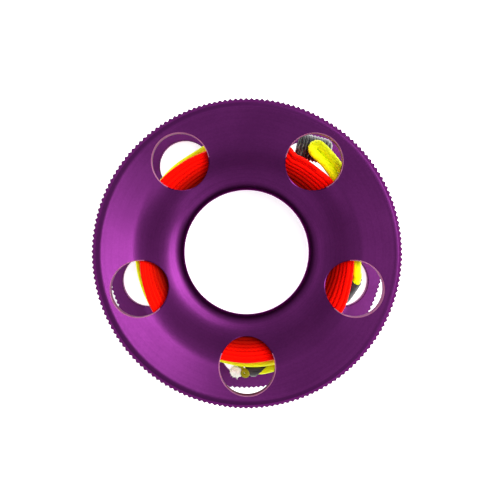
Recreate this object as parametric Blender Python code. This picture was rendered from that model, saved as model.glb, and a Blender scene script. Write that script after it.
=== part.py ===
# Finger spool: two dished, knurled flanges on a hub, wound with guide line,
# with a leader cord that makes a pull loop. Metres, +Z up.
# The spool lies flat on its rear flange. Its axis is Z and the origin is on
# the axis, at the plane that it rests on.

import math

import bmesh
import bpy
from mathutils import Matrix, Vector

# Overall spool
SPOOL_WIDTH = 0.0440
RIM_RADIUS = 0.0466
RIM_THICKNESS = 0.0050
WEB_THICKNESS = 0.0030
CLEARANCE = 0.0003
CUT_OVERRUN = 0.0020

# Knurled rim
KNURL_TEETH = 183
KNURL_DEPTH = 0.00055
FRONT_CHAMFER = 0.0014
BACK_CHAMFER = 0.0008
CREST_WIDTH = 0.0010

# Dished face, from the crest down to the finger bore
CREST_BLEND = 0.0012
CONE_SLOPE = math.tan(math.radians(20))
CONE_WIDTH = 0.0072
LIP_INSET = 0.0006
LIP_DEPTH_SHARE = 3 / 11
LIP_SLOPE = math.tan(math.radians(18))
WAIST_RADIUS = 0.0191
WAIST_CURVE_RADIUS = 0.1200
LIP_STEPS = 4
COVE_STEPS = 7
WEB_STEPS = 4
DISC_SIDES = 60

# Round holes in both flanges, as shares of the band between hub and crest
HOLE_COUNT = 5
HOLE_RADIUS_SHARE = 0.41
HOLE_PLACE_SHARE = 0.522
FIRST_HOLE_ANGLE = math.radians(270)
HOLE_SIDES = 36

# Hub between the flanges
HUB_WALL = 0.0044
HUB_SEAT_SHARE = 4 / 11
SPIGOT_LENGTH = 0.0025
SPIGOT_WALL_SHARE = 5 / 11
BORE_STEPS = 2

# Guide line on the hub
LINE_DIAMETER = 0.0012
PACK_RADIUS = 0.0335
PACK_SIDE_GAP = 0.0006
PACK_DIP = 0.0006
TURN_PITCH = 0.00165
POINTS_PER_TURN = 24
LEAD_OUT_STEPS = 4
CORE_STEPS = 3
CORE_DIP_STEPS = 4
LINE_BEVEL_STEPS = 1

# Knot between the guide line and the leader
KNOT_RADIUS = 0.0021
KNOT_LENGTH = 0.0050
KNOT_ANGLE = math.radians(97)
KNOT_END_SHARE = 0.72
KNOT_FULL_SHARE = 0.8
KNOT_SIDES = 16

# Leader cord and its sleeves
CORD_DIAMETER = 0.0025
CORD_BEVEL_STEPS = 2
STRAND_GAP = 0.00045
SLEEVE_WALL = 0.00035
SLEEVE_STEPS = 8
BORE_SIDES = 16
NECK_SLEEVE_LENGTH = 0.0078
NECK_SLEEVE_ANGLE = math.radians(338)
NECK_SLEEVE_LIFT = 0.0024
NECK_SLEEVE_DEPTH = 0.0145
NECK_SLEEVE_PITCH = math.radians(25)
TAIL_SLEEVE_LENGTH = 0.0050
TAIL_SLEEVE_ANGLE = math.radians(274.8)
TAIL_SLEEVE_DEPTH = 0.0225
TAIL_SLEEVE_LIFT = 0.0053
TAIL_STUB_LENGTH = 0.0011
BIGHT_ANGLE = math.radians(415.9)
BIGHT_DEPTH = 0.0120
BIGHT_LIFT = 0.0054
BIGHT_LEAN = math.radians(12)
BIGHT_STEPS = 6
CORD_SPACING = 0.0060

# Frayed core at the leader's cut end
TUFT_RADIUS = 0.0021
TUFT_LENGTH_SHARE = 1.15
TUFT_LUMP_SHARE = 0.10
TUFT_LUMPS = (5, 6, 5)
TUFT_TURNS = (2, 0, 1)
TUFT_DETAIL = 3

# Ribbed toggle behind the loop's bight
TOGGLE_RADIUS = 0.0035
TOGGLE_LENGTH = 0.0108
TOGGLE_RIBS = 10
TOGGLE_RIB_DEPTH = 0.00035
TOGGLE_DOME_LENGTH = 0.0024
TOGGLE_DOME_SHARE = 0.55
TOGGLE_ANGLE = math.radians(57)
TOGGLE_LIFT = 0.0056
TOGGLE_TILT = math.radians(-11)
TOGGLE_SIDES = 20

# Shading: edges sharper than this angle stay crisp
METAL_EDGE = math.radians(35)
SOFT_EDGE = math.radians(60)
SEARCH_STEPS = 40

# Sizes that follow from the ones above
MIDDLE = SPOOL_WIDTH / 2
CREST_OUTER_RADIUS = RIM_RADIUS - FRONT_CHAMFER
CREST_INNER_RADIUS = CREST_OUTER_RADIUS - CREST_WIDTH
CONE_INNER_RADIUS = CREST_INNER_RADIUS - CONE_WIDTH
HUB_RADIUS = WAIST_RADIUS + HUB_WALL
LIP_RADIUS = HUB_RADIUS - LIP_INSET
SPIGOT_WALL = HUB_WALL * SPIGOT_WALL_SHARE
LIP_DEPTH = SPOOL_WIDTH * LIP_DEPTH_SHARE
HUB_SEAT_DEPTH = SPOOL_WIDTH * HUB_SEAT_SHARE
HOLE_BAND = CREST_INNER_RADIUS - HUB_RADIUS
HOLE_RADIUS = HOLE_BAND * HOLE_RADIUS_SHARE
HOLE_PITCH_RADIUS = HUB_RADIUS + HOLE_BAND * HOLE_PLACE_SHARE
LINE_RADIUS = LINE_DIAMETER / 2
TURN_RADIUS = PACK_RADIUS - LINE_RADIUS
TURN_SAG = TURN_RADIUS * (1 - math.cos(math.pi / POINTS_PER_TURN))
CORE_RADIUS = TURN_RADIUS - LINE_RADIUS - TURN_SAG - CLEARANCE
CORD_RADIUS = CORD_DIAMETER / 2
SLEEVE_RADIUS = CORD_RADIUS + CLEARANCE + SLEEVE_WALL
HALF_STRANDS = (CORD_DIAMETER + STRAND_GAP) / 2
KNOT_LIFT = KNOT_RADIUS + CLEARANCE


def front_z(depth):
    # Height of a point that lies this far below the front rim.
    return SPOOL_WIDTH - depth


def cone_depth(radius):
    # Depth of the gentle cone inside the crest, with a rounded start.
    inward = CREST_INNER_RADIUS - radius
    if inward <= 0:
        return 0
    if inward < CREST_BLEND:
        return CONE_SLOPE * inward ** 2 / (2 * CREST_BLEND)
    return CONE_SLOPE * (inward - CREST_BLEND / 2)


def face_depth(radius):
    # Depth of the dished face below the rim, from the crest to the lip.
    if radius >= CONE_INNER_RADIUS:
        return cone_depth(radius)
    span = CONE_INNER_RADIUS - LIP_RADIUS
    share = min(1, (CONE_INNER_RADIUS - radius) / span)
    start = cone_depth(CONE_INNER_RADIUS)
    return (start * (1 + 2 * share) * (1 - share) ** 2
            + CONE_SLOPE * span * share * (1 - share) ** 2
            + LIP_DEPTH * share ** 2 * (3 - 2 * share)
            + LIP_SLOPE * span * share ** 2 * (share - 1))


def web_depth(radius):
    # Depth of the flange's inner side, which faces the line.
    return max(RIM_THICKNESS, face_depth(radius) + WEB_THICKNESS)


def waist_radius(depth):
    # Radius of the hourglass bore near the middle of the hub.
    return WAIST_RADIUS + (MIDDLE - depth) ** 2 / (2 * WAIST_CURVE_RADIUS)


def steps(start, end, count):
    # Evenly spaced values, both ends included.
    return [start + (end - start) * i / count for i in range(count + 1)]


def ring(radius, depth, sides=DISC_SIDES):
    # Points of one turned circle, as (angle, radius, depth).
    return [(2 * math.pi * i / sides, radius, depth) for i in range(sides)]


def knurled_ring(tip_depth, valley_depth):
    # Points of one edge of the knurled band, tips and valleys in turn.
    points = []
    for i in range(2 * KNURL_TEETH):
        angle = math.pi * i / KNURL_TEETH
        if i % 2:
            points.append((angle, RIM_RADIUS - KNURL_DEPTH, valley_depth))
        else:
            points.append((angle, RIM_RADIUS, tip_depth))
    return points


def stitch(bm, first, second):
    # Closes the strip between two rings, whatever their number of points.
    if len(first) == len(second):
        for i in range(len(first)):
            j = (i + 1) % len(first)
            bm.faces.new((first[i][1], first[j][1], second[j][1], second[i][1]))
        return
    i = j = 0
    while i < len(first) or j < len(second):
        next_first = first[(i + 1) % len(first)]
        next_second = second[(j + 1) % len(second)]
        first_angle = 2 * math.pi if i + 1 >= len(first) else next_first[0]
        second_angle = 2 * math.pi if j + 1 >= len(second) else next_second[0]
        here = first[i % len(first)][1]
        there = second[j % len(second)][1]
        if j >= len(second) or (i < len(first) and first_angle <= second_angle):
            bm.faces.new((here, next_first[1], there))
            i += 1
        else:
            bm.faces.new((here, next_second[1], there))
            j += 1


def link_mesh(name, bm, material, smooth_angle=METAL_EDGE):
    # Puts a finished bmesh into the scene as a smooth-shaded object.
    bm.normal_update()
    bmesh.ops.recalc_face_normals(bm, faces=bm.faces)
    mesh = bpy.data.meshes.new(name)
    bm.to_mesh(mesh)
    bm.free()
    mesh.shade_smooth()
    mesh.set_sharp_from_angle(angle=smooth_angle)
    mesh.materials.append(material)
    obj = bpy.data.objects.new(name, mesh)
    bpy.context.scene.collection.objects.link(obj)
    return obj


def turned_mesh(rings, place):
    # Lofts a closed loop of rings, each point set down by place(angle, radius, depth).
    bm = bmesh.new()
    loops = []
    for points in rings:
        loops.append([(angle, bm.verts.new(place(angle, radius, depth)))
                      for angle, radius, depth in points])
    for first, second in zip(loops, loops[1:] + loops[:1]):
        stitch(bm, first, second)
    return bm


def on_spool(from_rear):
    # Places a ring point on the spool, measured from the front or the rear rim.
    def place(angle, radius, depth):
        height = depth if from_rear else front_z(depth)
        return (radius * math.cos(angle), radius * math.sin(angle), height)
    return place


def make_material(name, colour, metallic, roughness):
    material = bpy.data.materials.new(name)
    material.use_nodes = True
    shader = material.node_tree.nodes["Principled BSDF"]
    shader.inputs["Base Color"].default_value = (*colour, 1)
    shader.inputs["Metallic"].default_value = metallic
    shader.inputs["Roughness"].default_value = roughness
    material.diffuse_color = (*colour, 1)
    return material


def lip_points():
    # The lip's rounded edge, from the dished face over into the bore wall.
    # An ellipse quarter that starts at the lip's slope and ends on the waist curve.
    end_depth = HUB_SEAT_DEPTH
    end_radius = waist_radius(end_depth)
    points = []
    for share in steps(0, 1, LIP_STEPS)[1:]:
        turn = share * math.pi / 2
        radius = end_radius + (LIP_RADIUS - end_radius) * (1 - math.sin(turn))
        sink = (end_depth - LIP_DEPTH) * (1 - math.cos(turn))
        tilt = LIP_SLOPE * (LIP_RADIUS - radius) * (1 - share)
        points.append((radius, LIP_DEPTH + sink + tilt))
    return points


def flange_rings():
    # The flange's section as rings: face, lip, bore, spigot, seat, web and rim.
    spigot_end = HUB_SEAT_DEPTH + SPIGOT_LENGTH
    spigot_radius = waist_radius(spigot_end) + SPIGOT_WALL
    chamfer_share = 1 - KNURL_DEPTH / FRONT_CHAMFER
    back_share = min(1, KNURL_DEPTH / BACK_CHAMFER)
    back_depth = RIM_THICKNESS - BACK_CHAMFER

    rings = [ring(CREST_OUTER_RADIUS, 0), ring(CREST_INNER_RADIUS, 0)]
    rings.append(ring(CREST_INNER_RADIUS - CREST_BLEND / 2,
                      face_depth(CREST_INNER_RADIUS - CREST_BLEND / 2)))
    rings.append(ring(CREST_INNER_RADIUS - CREST_BLEND,
                      face_depth(CREST_INNER_RADIUS - CREST_BLEND)))
    for radius in steps(CONE_INNER_RADIUS, LIP_RADIUS, COVE_STEPS):
        rings.append(ring(radius, face_depth(radius)))
    for radius, depth in lip_points():
        rings.append(ring(radius, depth))
    rings.append(ring(waist_radius(spigot_end), spigot_end))
    rings.append(ring(spigot_radius, spigot_end))
    rings.append(ring(spigot_radius, HUB_SEAT_DEPTH))
    rings.append(ring(HUB_RADIUS, HUB_SEAT_DEPTH))
    for radius in steps(HUB_RADIUS, CONE_INNER_RADIUS, WEB_STEPS):
        rings.append(ring(radius, web_depth(radius)))
    rings.append(ring(web_edge_radius(), RIM_THICKNESS))
    rings.append(ring(RIM_RADIUS - BACK_CHAMFER, RIM_THICKNESS))
    rings.append(knurled_ring(back_depth, back_depth + BACK_CHAMFER * back_share))
    rings.append(knurled_ring(FRONT_CHAMFER, FRONT_CHAMFER * chamfer_share))
    return rings


def web_edge_radius():
    # Where the web's inner side runs out into the rim's flat inner side.
    low = CONE_INNER_RADIUS
    high = CREST_INNER_RADIUS
    for _ in range(SEARCH_STEPS):
        middle = (low + high) / 2
        if face_depth(middle) + WEB_THICKNESS > RIM_THICKNESS:
            low = middle
        else:
            high = middle
    return high


def hole_cutter(name):
    # The five round cutters of one flange, in one mesh.
    bm = bmesh.new()
    for i in range(HOLE_COUNT):
        angle = FIRST_HOLE_ANGLE + 2 * math.pi * i / HOLE_COUNT
        across = HOLE_PITCH_RADIUS * math.cos(angle)
        up = HOLE_PITCH_RADIUS * math.sin(angle)
        bmesh.ops.create_cone(
            bm, cap_ends=True, segments=HOLE_SIDES,
            radius1=HOLE_RADIUS, radius2=HOLE_RADIUS,
            depth=SPOOL_WIDTH + 2 * CUT_OVERRUN,
            matrix=Matrix.Translation((across, up, MIDDLE)))
    mesh = bpy.data.meshes.new(name)
    bm.to_mesh(mesh)
    bm.free()
    cutter = bpy.data.objects.new(name, mesh)
    bpy.context.scene.collection.objects.link(cutter)
    return cutter


def cut_away(target, cutter):
    # Cuts one object out of another and keeps the cutter as a hidden guide.
    cut = target.modifiers.new("cut_" + cutter.name, "BOOLEAN")
    cut.operation = "DIFFERENCE"
    cut.object = cutter
    cutter.hide_render = True
    cutter.display_type = "WIRE"


def make_flange(name, from_rear, cutter, material):
    bm = turned_mesh(flange_rings(), on_spool(from_rear))
    flange = link_mesh(name, bm, material)
    cut_away(flange, cutter)
    return flange


def make_barrel(material):
    # The hub tube, counterbored at both ends for the flanges' spigots.
    seat = HUB_SEAT_DEPTH + CLEARANCE
    counterbore_end = HUB_SEAT_DEPTH + SPIGOT_LENGTH + CLEARANCE
    counterbore_radius = (waist_radius(HUB_SEAT_DEPTH + SPIGOT_LENGTH)
                          + SPIGOT_WALL + CLEARANCE)
    rings = [ring(HUB_RADIUS, seat), ring(counterbore_radius, seat),
             ring(counterbore_radius, counterbore_end)]
    for depth in steps(counterbore_end, SPOOL_WIDTH - counterbore_end, BORE_STEPS):
        rings.append(ring(waist_radius(depth), depth))
    rings.append(ring(counterbore_radius, SPOOL_WIDTH - counterbore_end))
    rings.append(ring(counterbore_radius, SPOOL_WIDTH - seat))
    rings.append(ring(HUB_RADIUS, SPOOL_WIDTH - seat))
    return link_mesh("hub_barrel", turned_mesh(rings, on_spool(False)), material)


def pack_side_depth(radius):
    # Depth of the line pack's side, which keeps a small gap to the web.
    return web_depth(radius) + PACK_SIDE_GAP


def pack_dip(depth):
    # How far the wound line's surface sinks midway between the flanges.
    edge = pack_side_depth(PACK_RADIUS)
    share = min(1, max(0, (depth - edge) / (SPOOL_WIDTH - 2 * edge)))
    return PACK_DIP * math.sin(math.pi * share) ** 2


def make_core(material):
    # The packed inner layers of line, between the flanges.
    inner_radius = HUB_RADIUS + CLEARANCE
    radii = steps(inner_radius, CORE_RADIUS, CORE_STEPS)
    rings = [ring(radius, pack_side_depth(radius)) for radius in radii]
    edge = pack_side_depth(CORE_RADIUS)
    for depth in steps(edge, SPOOL_WIDTH - edge, CORE_DIP_STEPS)[1:-1]:
        rings.append(ring(CORE_RADIUS - pack_dip(depth), depth))
    rings += [ring(radius, SPOOL_WIDTH - pack_side_depth(radius))
              for radius in reversed(radii)]
    return link_mesh("line_core", turned_mesh(rings, on_spool(False)), material)


def spool_point(angle, lift, depth):
    # A point near the wound line, lifted off its surface.
    radius = PACK_RADIUS - pack_dip(depth) + lift
    return Vector((radius * math.cos(angle), radius * math.sin(angle), front_z(depth)))


def along_turn(angle):
    # The direction of travel round the spool, seen from the front anticlockwise.
    return Vector((-math.sin(angle), math.cos(angle), 0))


def outward(angle):
    return Vector((math.cos(angle), math.sin(angle), 0))


def winding_points():
    # The outer layer, front to rear, with a lead out to the leader's knot.
    first_depth = pack_side_depth(PACK_RADIUS) + LINE_RADIUS
    last_depth = knot_depth()
    turns = int((last_depth - first_depth) / TURN_PITCH)
    knot_half = math.atan((KNOT_LENGTH / 2 + CLEARANCE) / (PACK_RADIUS + KNOT_LIFT))
    step = 2 * math.pi / POINTS_PER_TURN
    lead_angle = LEAD_OUT_STEPS * step
    end_angle = KNOT_ANGLE - knot_half - step / 2
    count = turns * POINTS_PER_TURN
    points = []
    for i in range(count + 1):
        angle = end_angle - lead_angle - (count - i) * step
        depth = last_depth - (count - i) * TURN_PITCH / POINTS_PER_TURN
        points.append(spool_point(angle, -LINE_RADIUS, depth))
    for i in range(1, LEAD_OUT_STEPS + 1):
        share = i / LEAD_OUT_STEPS
        rise = share ** 2 * (3 - 2 * share)
        lift = -LINE_RADIUS + (KNOT_LIFT + LINE_RADIUS) * rise
        points.append(spool_point(end_angle - lead_angle + i * step, lift, last_depth))
    # The end runs straight and square into the knot.
    face = knot_centre() - along_turn(KNOT_ANGLE) * (KNOT_LENGTH / 2 + CLEARANCE)
    points[-1] = face - along_turn(KNOT_ANGLE) * LINE_DIAMETER
    points.append(face)
    # The other end runs straight too, along its turn.
    start = (points[0] - points[1]).normalized() * LINE_DIAMETER
    points.insert(0, points[0] + start)
    return points


def knot_depth():
    # The knot lies beside the rear flange's inner side.
    return SPOOL_WIDTH - web_depth(PACK_RADIUS) - CLEARANCE - KNOT_RADIUS


def knot_centre():
    return spool_point(KNOT_ANGLE, KNOT_LIFT, knot_depth())


def least_gap(points, diameter, window):
    # The least space between stretches of a tube that are not neighbours.
    least = math.inf
    for i, point in enumerate(points):
        for other in points[i + window:]:
            least = min(least, (other - point).length - diameter)
    return least


def make_tube(name, points, radius, resolution, material):
    # A round cord along fixed points, closed at both ends.
    curve = bpy.data.curves.new(name, "CURVE")
    curve.dimensions = "3D"
    curve.bevel_depth = radius
    curve.bevel_resolution = resolution
    curve.use_fill_caps = True
    spline = curve.splines.new("POLY")
    spline.points.add(len(points) - 1)
    for spline_point, point in zip(spline.points, points):
        spline_point.co = (*point, 1)
    spline.use_smooth = True
    obj = bpy.data.objects.new(name, curve)
    bpy.context.scene.collection.objects.link(obj)
    curve.materials.append(material)
    return obj


def neck_frame():
    # Centre of the neck sleeve and the line that its strands follow.
    centre = spool_point(NECK_SLEEVE_ANGLE, NECK_SLEEVE_LIFT, NECK_SLEEVE_DEPTH)
    direction = along_turn(NECK_SLEEVE_ANGLE) * math.cos(NECK_SLEEVE_PITCH)
    return centre, direction + Vector((0, 0, math.sin(NECK_SLEEVE_PITCH)))


def stack_side(direction):
    # The way in which a sleeve's strands are stacked, square to its length.
    up = Vector((0, 0, 1))
    return (up - direction * up.dot(direction)).normalized()


def tail_frame():
    centre = spool_point(TAIL_SLEEVE_ANGLE, TAIL_SLEEVE_LIFT, TAIL_SLEEVE_DEPTH)
    return centre, along_turn(TAIL_SLEEVE_ANGLE)


def polar_route(places):
    # Points of a cord's route, from (degrees, lift off the pack, depth).
    return [spool_point(math.radians(degrees), lift, depth)
            for degrees, lift, depth in places]


def straight_run(centre, direction, half_length, offset):
    # Three points of a cord's straight run through a sleeve.
    middle = centre + offset
    return [middle - direction * half_length, middle, middle + direction * half_length]


def bight_run():
    # The half circle at the end of the pull loop.
    centre = outward(BIGHT_ANGLE) * (PACK_RADIUS + BIGHT_LIFT)
    centre.z = front_z(BIGHT_DEPTH)
    onward = Matrix.Rotation(-BIGHT_LEAN, 3, "Z") @ along_turn(BIGHT_ANGLE)
    across = Matrix.Rotation(-BIGHT_LEAN, 3, "Z") @ outward(BIGHT_ANGLE)
    points = []
    for turn in steps(0, math.pi, BIGHT_STEPS):
        points.append(centre + across * HALF_STRANDS * math.cos(turn)
                      + onward * HALF_STRANDS * math.sin(turn))
    return points


def leader_route():
    # The leader's whole route: knot, once round the pack, neck, bight, neck, tail.
    knot_face = knot_centre() + along_turn(KNOT_ANGLE) * (KNOT_LENGTH / 2 + CLEARANCE)
    route = [knot_face, knot_face + along_turn(KNOT_ANGLE) * CORD_DIAMETER]
    route += polar_route((
        (115, 0.00175, 0.0320),
        (135, 0.00155, 0.0290),
        (160, 0.00155, 0.0265),
        (185, 0.00155, 0.0250),
        (210, 0.00155, 0.0248),
        (235, 0.00155, 0.0256),
        (252, 0.00155, 0.0255),
        (268, 0.00155, 0.0222),
        (283, 0.00155, 0.0183),
        (300, 0.00160, 0.0163),
        (317, 0.00190, 0.0160)))
    neck, neck_line = neck_frame()
    half_neck = NECK_SLEEVE_LENGTH / 2 + CORD_DIAMETER / 2
    stack = stack_side(neck_line) * HALF_STRANDS
    standing = straight_run(neck, neck_line, half_neck, stack)
    route += standing
    route += polar_route((
        (356, 0.00200, 0.0106),
        (370, 0.00270, 0.0104),
        (385, 0.00400, 0.0108),
        (398, 0.00510, 0.0114),
        (408, 0.00600, 0.0119)))
    route += bight_run()
    route += polar_route((
        (408, 0.00305, 0.0121),
        (398, 0.00240, 0.0128),
        (385, 0.00170, 0.0137),
        (370, 0.00165, 0.0141),
        (356, 0.00190, 0.0140)))
    route += reversed(straight_run(neck, neck_line, half_neck, -stack))
    route += polar_route((
        (318, 0.00310, 0.0200),
        (305, 0.00420, 0.0216),
        (293, 0.00510, 0.0223)))
    tail, tail_line = tail_frame()
    half_tail = TAIL_SLEEVE_LENGTH / 2 + TAIL_STUB_LENGTH
    route += reversed(straight_run(tail, tail_line, half_tail, Vector((0, 0, 0))))
    return route


def smooth_route(route):
    # A smooth curve through the route's points, with a point about every
    # spacing and more of them only where the route itself turns tightly.
    points = [route[0]]
    for i in range(len(route) - 1):
        before = route[max(0, i - 1)]
        start = route[i]
        end = route[i + 1]
        after = route[min(len(route) - 1, i + 2)]
        chord = (end - start).length
        start_pull = (end - before).normalized() * chord
        end_pull = (after - start).normalized() * chord
        count = max(1, round(chord / CORD_SPACING))
        for share in steps(0, 1, count)[1:]:
            rest = 1 - share
            points.append(start * (1 + 2 * share) * rest ** 2
                          + start_pull * share * rest ** 2
                          + end * share ** 2 * (3 - 2 * share)
                          - end_pull * share ** 2 * rest)
    return points


def make_sleeve(name, centre, direction, length, half_spread, cutters, material):
    # A straight shrink sleeve with an oval section, bored for its strands.
    up = stack_side(direction)
    side = direction.cross(up)
    section = []
    for half, sign in ((0, 1), (1, -1)):
        turns = steps(half * math.pi, (half + 1) * math.pi, SLEEVE_STEPS)
        for turn in turns[half_spread == 0:]:
            section.append(centre + up * (sign * half_spread)
                           + side * (SLEEVE_RADIUS * math.cos(turn))
                           + up * (SLEEVE_RADIUS * math.sin(turn)))
    bm = bmesh.new()
    ends = []
    for way in (-1, 1):
        shift = direction * (way * length / 2)
        ends.append([bm.verts.new(point + shift) for point in section])
    for i in range(len(section)):
        j = (i + 1) % len(section)
        bm.faces.new((ends[0][i], ends[0][j], ends[1][j], ends[1][i]))
    bm.faces.new(ends[0])
    bm.faces.new(list(reversed(ends[1])))
    sleeve = link_mesh(name, bm, material)
    for cutter in cutters:
        cut_away(sleeve, cutter)
    return sleeve


def make_bore_cutter(name, centre, direction, length):
    # A round bore for one strand of cord.
    turn = Vector((0, 0, 1)).rotation_difference(direction).to_matrix().to_4x4()
    bm = bmesh.new()
    bmesh.ops.create_cone(
        bm, cap_ends=True, segments=BORE_SIDES,
        radius1=CORD_RADIUS + CLEARANCE, radius2=CORD_RADIUS + CLEARANCE,
        depth=length + 2 * CUT_OVERRUN,
        matrix=Matrix.Translation(centre) @ turn)
    mesh = bpy.data.meshes.new(name)
    bm.to_mesh(mesh)
    bm.free()
    cutter = bpy.data.objects.new(name, mesh)
    bpy.context.scene.collection.objects.link(cutter)
    return cutter


def make_knot(material):
    # A barrel knot: full in the middle and drawn in at its ends.
    axis = along_turn(KNOT_ANGLE)
    out = outward(KNOT_ANGLE)
    centre = knot_centre()

    def place(angle, radius, depth):
        return (centre + axis * depth + out * radius * math.cos(angle)
                + Vector((0, 0, radius * math.sin(angle))))

    half = KNOT_LENGTH / 2
    end_radius = KNOT_RADIUS * KNOT_END_SHARE
    bm = bmesh.new()
    loops = []
    for share in (-1, -KNOT_FULL_SHARE, 0, KNOT_FULL_SHARE, 1):
        radius = end_radius if abs(share) == 1 else KNOT_RADIUS
        loops.append([(angle, bm.verts.new(place(angle, r, depth)))
                      for angle, r, depth in ring(radius, half * share, KNOT_SIDES)])
    for first, second in zip(loops, loops[1:]):
        stitch(bm, first, second)
    for loop in (loops[0], loops[-1]):
        bm.faces.new([vert for _, vert in loop])
    return link_mesh("leader_knot", bm, material)


def toggle_stations():
    # The toggle's ribbed section, as places along it and radii, domed at one end.
    start = -TOGGLE_LENGTH / 2
    dome_start = TOGGLE_LENGTH / 2 - TOGGLE_DOME_LENGTH
    half_pitch = TOGGLE_LENGTH / (2 * TOGGLE_RIBS)
    stations = []
    for i in range(2 * TOGGLE_RIBS + 1):
        along = start + i * half_pitch
        into_dome = max(0, along - dome_start) / TOGGLE_DOME_LENGTH
        full = TOGGLE_RADIUS * math.sqrt(1 - TOGGLE_DOME_SHARE * into_dome ** 2)
        stations.append((along, full if i % 2 else full - TOGGLE_RIB_DEPTH))
    return stations


def make_toggle(material):
    # A short ribbed barrel behind the bight, its axis tilted across the spool.
    depth_below = BIGHT_DEPTH + CORD_RADIUS + CLEARANCE + TOGGLE_RADIUS
    centre = outward(TOGGLE_ANGLE) * (PACK_RADIUS + TOGGLE_LIFT)
    centre.z = front_z(depth_below)
    axis = Vector((math.cos(TOGGLE_TILT), math.sin(TOGGLE_TILT), 0))
    side = axis.cross(Vector((0, 0, 1)))
    bm = bmesh.new()
    loops = []
    for along, radius in toggle_stations():
        loop = []
        for angle, r, _ in ring(radius, 0, TOGGLE_SIDES):
            point = centre + axis * along + side * (r * math.cos(angle))
            loop.append((angle, bm.verts.new(point + Vector((0, 0, r * math.sin(angle))))))
        loops.append(loop)
    for first, second in zip(loops, loops[1:]):
        stitch(bm, first, second)
    for loop in (loops[0], loops[-1]):
        bm.faces.new([vert for _, vert in loop])
    return link_mesh("ribbed_toggle", bm, material, SOFT_EDGE)


def make_tuft(end, direction, material):
    # The frayed core: a small lumpy ball just past the cord's cut end.
    length = TUFT_RADIUS * TUFT_LENGTH_SHARE
    centre = end + direction * (length * (1 + TUFT_LUMP_SHARE) + CLEARANCE)
    bm = bmesh.new()
    bmesh.ops.create_icosphere(bm, subdivisions=TUFT_DETAIL, radius=1)
    side = direction.cross(Vector((0, 0, 1))).normalized()
    up = direction.cross(side)
    for vert in bm.verts:
        unit = vert.co.copy()
        wave = 1
        for value, lumps, turn in zip(unit, TUFT_LUMPS, TUFT_TURNS):
            wave *= math.sin(lumps * value + turn)
        lump = 1 + TUFT_LUMP_SHARE * wave
        vert.co = centre + (direction * unit.x * length + side * unit.y * TUFT_RADIUS
                            + up * unit.z * TUFT_RADIUS) * lump
    return link_mesh("core_tuft", bm, material, SOFT_EDGE)


for old in list(bpy.data.objects):
    bpy.data.objects.remove(old, do_unlink=True)

anodised = make_material("violet_anodised", (0.13, 0.01, 0.15), 1, 0.38)
line_red = make_material("line_red", (0.75, 0.01, 0.005), 0, 0.6)
cord_yellow = make_material("cord_yellow", (0.85, 0.80, 0.01), 0, 0.55)
sleeve_black = make_material("sleeve_black", (0.02, 0.018, 0.02), 0, 0.45)
toggle_black = make_material("toggle_black", (0.035, 0.033, 0.035), 0, 0.6)
core_cream = make_material("core_cream", (0.80, 0.70, 0.55), 0, 0.9)

holes = hole_cutter("hole_guides")
make_flange("front_flange", False, holes, anodised)
make_flange("rear_flange", True, holes, anodised)
make_barrel(anodised)

make_core(line_red)
winding = winding_points()
make_tube("line_winding", winding, LINE_RADIUS, LINE_BEVEL_STEPS, line_red)
print("line_winding least gap to itself:",
      round(least_gap(winding, LINE_DIAMETER, POINTS_PER_TURN // 2) * 1000, 3), "mm")

make_knot(line_red)
leader = smooth_route(leader_route())
make_tube("leader_cord", leader, CORD_RADIUS, CORD_BEVEL_STEPS, cord_yellow)
print("leader_cord least gap to itself:",
      round(least_gap(leader, CORD_DIAMETER, BIGHT_STEPS) * 1000, 3), "mm")

neck_centre, neck_direction = neck_frame()
neck_stack = stack_side(neck_direction) * HALF_STRANDS
neck_bores = [
    make_bore_cutter("neck_bore_front", neck_centre + neck_stack, neck_direction,
                     NECK_SLEEVE_LENGTH),
    make_bore_cutter("neck_bore_rear", neck_centre - neck_stack, neck_direction,
                     NECK_SLEEVE_LENGTH)]
make_sleeve("neck_sleeve", neck_centre, neck_direction, NECK_SLEEVE_LENGTH,
            HALF_STRANDS, neck_bores, sleeve_black)

tail_centre, tail_direction = tail_frame()
tail_bore = make_bore_cutter("tail_bore", tail_centre, tail_direction, TAIL_SLEEVE_LENGTH)
make_sleeve("tail_sleeve", tail_centre, tail_direction, TAIL_SLEEVE_LENGTH,
            0, [tail_bore], sleeve_black)

make_tuft(leader[-1], (leader[-1] - leader[-2]).normalized(), core_cream)
make_toggle(toggle_black)
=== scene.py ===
import math
import random

import bmesh
import bpy
from mathutils import Matrix, Vector, noise


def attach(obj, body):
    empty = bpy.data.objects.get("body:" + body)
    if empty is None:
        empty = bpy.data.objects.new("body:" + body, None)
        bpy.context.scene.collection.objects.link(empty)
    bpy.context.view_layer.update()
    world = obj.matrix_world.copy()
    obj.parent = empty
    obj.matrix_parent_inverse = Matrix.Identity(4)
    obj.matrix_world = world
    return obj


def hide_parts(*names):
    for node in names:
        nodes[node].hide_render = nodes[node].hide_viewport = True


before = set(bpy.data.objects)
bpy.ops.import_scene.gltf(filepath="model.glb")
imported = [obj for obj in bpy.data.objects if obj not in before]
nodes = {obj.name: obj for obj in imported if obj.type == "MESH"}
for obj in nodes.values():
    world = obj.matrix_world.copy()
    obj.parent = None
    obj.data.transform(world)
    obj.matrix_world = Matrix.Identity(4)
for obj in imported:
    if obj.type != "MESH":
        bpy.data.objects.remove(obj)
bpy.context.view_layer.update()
print("stage: frame loaded,", len(nodes), "nodes")

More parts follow.
